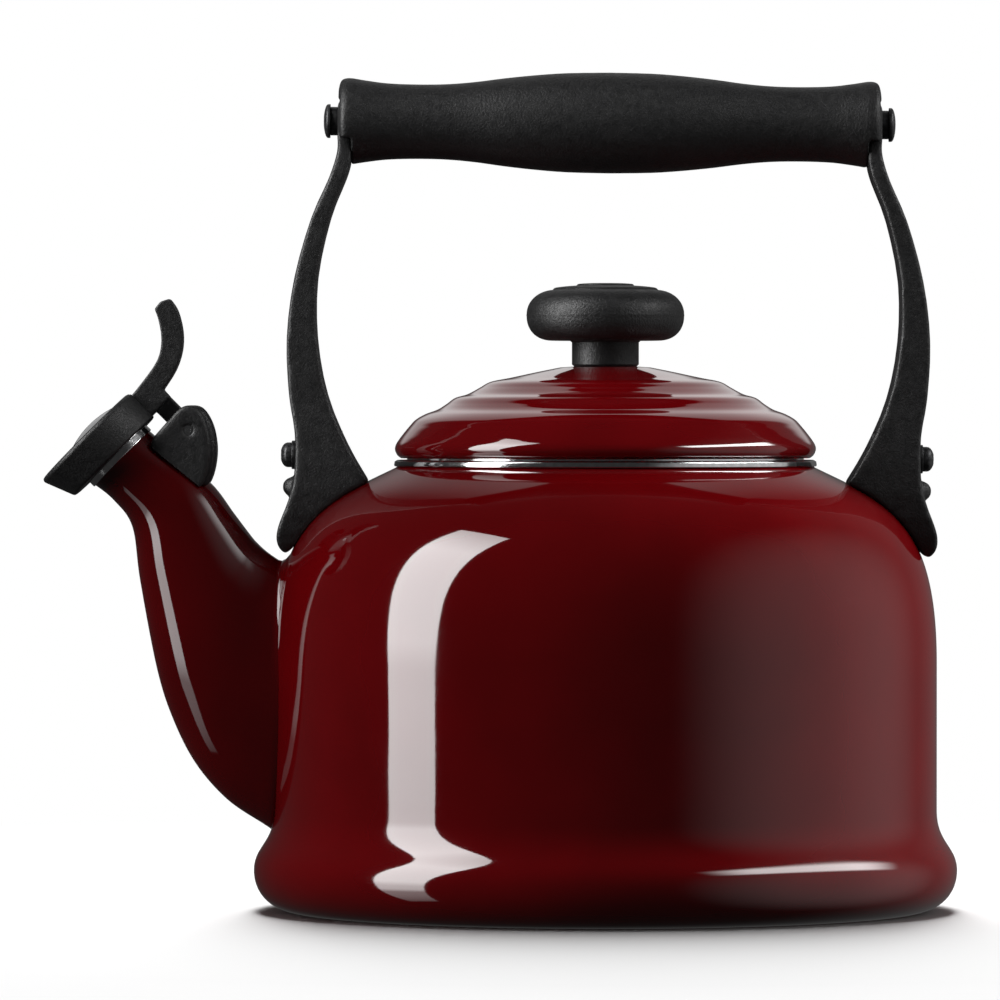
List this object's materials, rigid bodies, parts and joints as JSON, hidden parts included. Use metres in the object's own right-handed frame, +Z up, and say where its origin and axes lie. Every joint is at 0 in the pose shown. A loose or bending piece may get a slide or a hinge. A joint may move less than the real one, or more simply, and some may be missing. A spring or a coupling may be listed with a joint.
{
  "type": "whistling kettle",
  "caption": "Round enamelled stovetop kettle with a bridge handle, a lift-off stepped lid and a sprung whistle flap worked by a thumb lever.",
  "frame": {"origin": "centre of the flat underside, on the vessel's axis, on the plane that the kettle stands on", "axes": "+Z up, the spout points along -X, +Y is the far side of the view in which the spout is on the left"},
  "size_m": [0.2428, 0.1868, 0.2226],
  "materials": {
    "enamel": "high-gloss burgundy enamel",
    "phenolic": "fine-grained matte black phenolic",
    "steel": "polished stainless",
    "black_steel": "blackened screw steel",
    "spring_steel": "drawn wire",
    "brass": "machined",
    "silicone": "matte"
  },
  "bodies": {
    "kettle": {"body_shell": "enamel", "base_pan": "enamel", "neck_rim_ring": "steel", "spout": "enamel", "spout_mouth_ring": "steel", "front_handle_bracket": "steel", "rear_handle_bracket": "steel", "front_handle_arm": "phenolic", "rear_handle_arm": "phenolic", "front_arm_screw": "black_steel", "rear_arm_screw": "black_steel", "front_arm_washer": "black_steel", "rear_arm_washer": "black_steel", "handle_grip": "phenolic", "front_grip_insert": "brass", "rear_grip_insert": "brass", "front_grip_screw": "black_steel", "rear_grip_screw": "black_steel", "front_grip_washer": "black_steel", "rear_grip_washer": "black_steel", "hinge_bracket": "steel", "hinge_housing": "phenolic", "hinge_pin": "steel", "hinge_spring": "spring_steel"},
    "whistle": {"whistle_cap": "phenolic", "whistle_lever": "phenolic", "whistle_outer_plate": "steel", "whistle_inner_plate": "steel", "whistle_seal": "silicone"},
    "lid": {"lid_shell": "enamel", "lid_skirt": "steel", "lid_knob": "phenolic", "knob_insert": "brass", "knob_screw": "steel", "knob_washer": "steel"}
  },
  "joints": [
    {"name": "whistle_hinge", "type": "hinge", "parent": "kettle", "child": "whistle", "pos_m": [-0.11058, 0, 0.12765], "axis": [0, 1, 0], "range_deg": [0, 45], "stiffness_Nm_per_rad": 0.04, "springref_deg": -57.3, "deforming": ["hinge_spring"]},
    {"name": "lid_lift", "type": "slide", "parent": "kettle", "child": "lid", "axis": [0, 0, 1], "range_m": [0, 0.026]}
  ]
}
